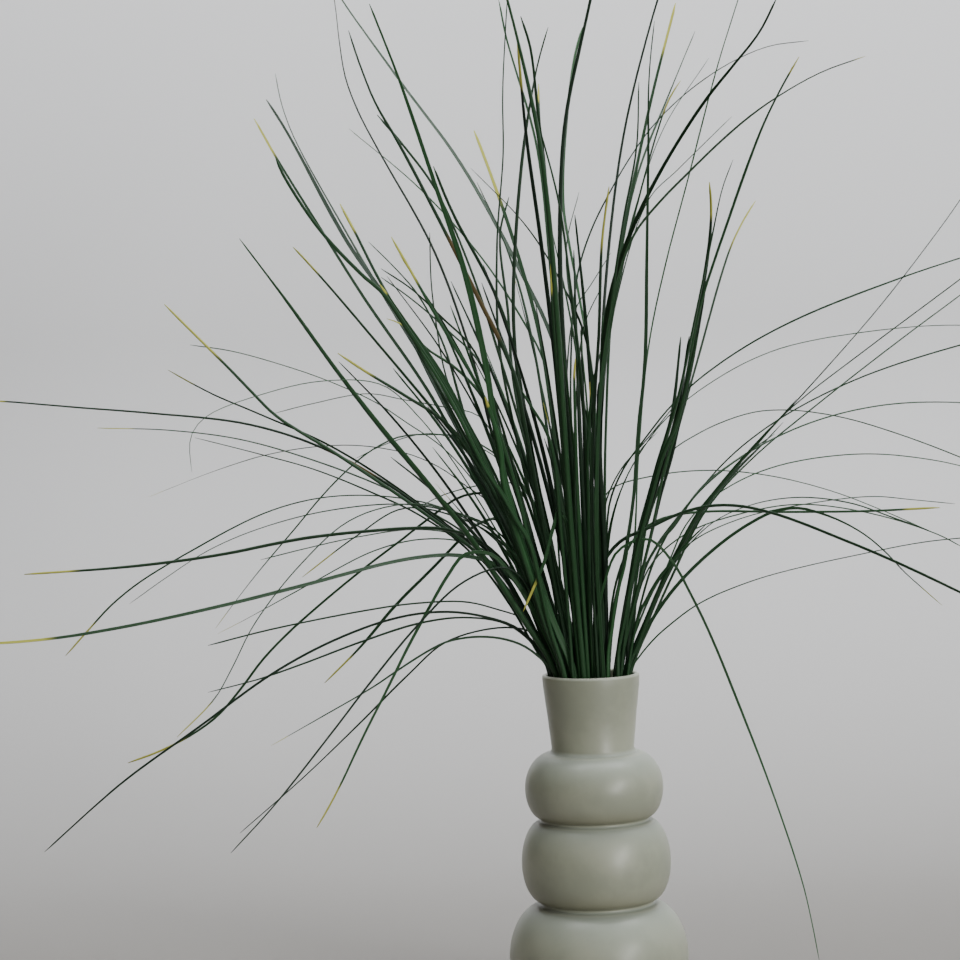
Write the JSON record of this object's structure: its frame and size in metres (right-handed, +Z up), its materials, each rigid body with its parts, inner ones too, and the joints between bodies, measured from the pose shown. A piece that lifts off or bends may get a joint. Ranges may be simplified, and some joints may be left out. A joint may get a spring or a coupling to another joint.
{
  "type": "vase of preserved bear grass",
  "caption": "Loose fountain of long keeled bear grass leaves, some arching and drooping, standing in a vase of stacked rounds with a flared neck.",
  "frame": {"origin": "centre of the vase's flat foot, on the surface it stands on", "axes": "+Z up along the vase's axis, +X to the right and +Y away from a viewer in front, with the leaves fanning out wide along X"},
  "size_m": [0.7461, 0.6284, 0.7792],
  "materials": {
    "sage_glaze": "satin",
    "bear_grass": "satin"
  },
  "bodies": {
    "root": {"vase": "sage_glaze", "left_leaf_01": "bear_grass", "left_leaf_02": "bear_grass", "left_leaf_03": "bear_grass", "left_leaf_04": "bear_grass", "left_leaf_05": "bear_grass", "left_leaf_06": "bear_grass", "left_leaf_07": "bear_grass", "left_leaf_08": "bear_grass", "left_leaf_09": "bear_grass", "left_leaf_10": "bear_grass", "left_leaf_11": "bear_grass", "left_leaf_12": "bear_grass", "left_leaf_13": "bear_grass", "left_leaf_14": "bear_grass", "left_leaf_15": "bear_grass", "left_leaf_16": "bear_grass", "left_leaf_17": "bear_grass", "left_leaf_18": "bear_grass", "left_leaf_19": "bear_grass", "left_leaf_20": "bear_grass", "left_leaf_21": "bear_grass", "left_leaf_22": "bear_grass", "left_leaf_23": "bear_grass", "left_leaf_24": "bear_grass", "left_leaf_25": "bear_grass", "left_leaf_26": "bear_grass", "right_leaf_01": "bear_grass", "right_leaf_02": "bear_grass", "right_leaf_03": "bear_grass", "right_leaf_04": "bear_grass", "right_leaf_05": "bear_grass", "right_leaf_06": "bear_grass", "right_leaf_07": "bear_grass", "right_leaf_08": "bear_grass", "right_leaf_09": "bear_grass", "right_leaf_10": "bear_grass", "right_leaf_11": "bear_grass", "right_leaf_12": "bear_grass", "right_leaf_13": "bear_grass", "right_leaf_14": "bear_grass", "right_leaf_15": "bear_grass", "right_leaf_16": "bear_grass", "right_leaf_17": "bear_grass", "right_leaf_18": "bear_grass", "right_leaf_19": "bear_grass", "right_leaf_20": "bear_grass", "right_leaf_21": "bear_grass", "right_leaf_22": "bear_grass", "right_leaf_23": "bear_grass", "right_leaf_24": "bear_grass", "right_leaf_25": "bear_grass", "right_leaf_26": "bear_grass", "middle_leaf_01": "bear_grass", "middle_leaf_02": "bear_grass", "middle_leaf_03": "bear_grass", "middle_leaf_04": "bear_grass", "middle_leaf_05": "bear_grass", "middle_leaf_06": "bear_grass", "middle_leaf_07": "bear_grass"}
  },
  "joints": []
}
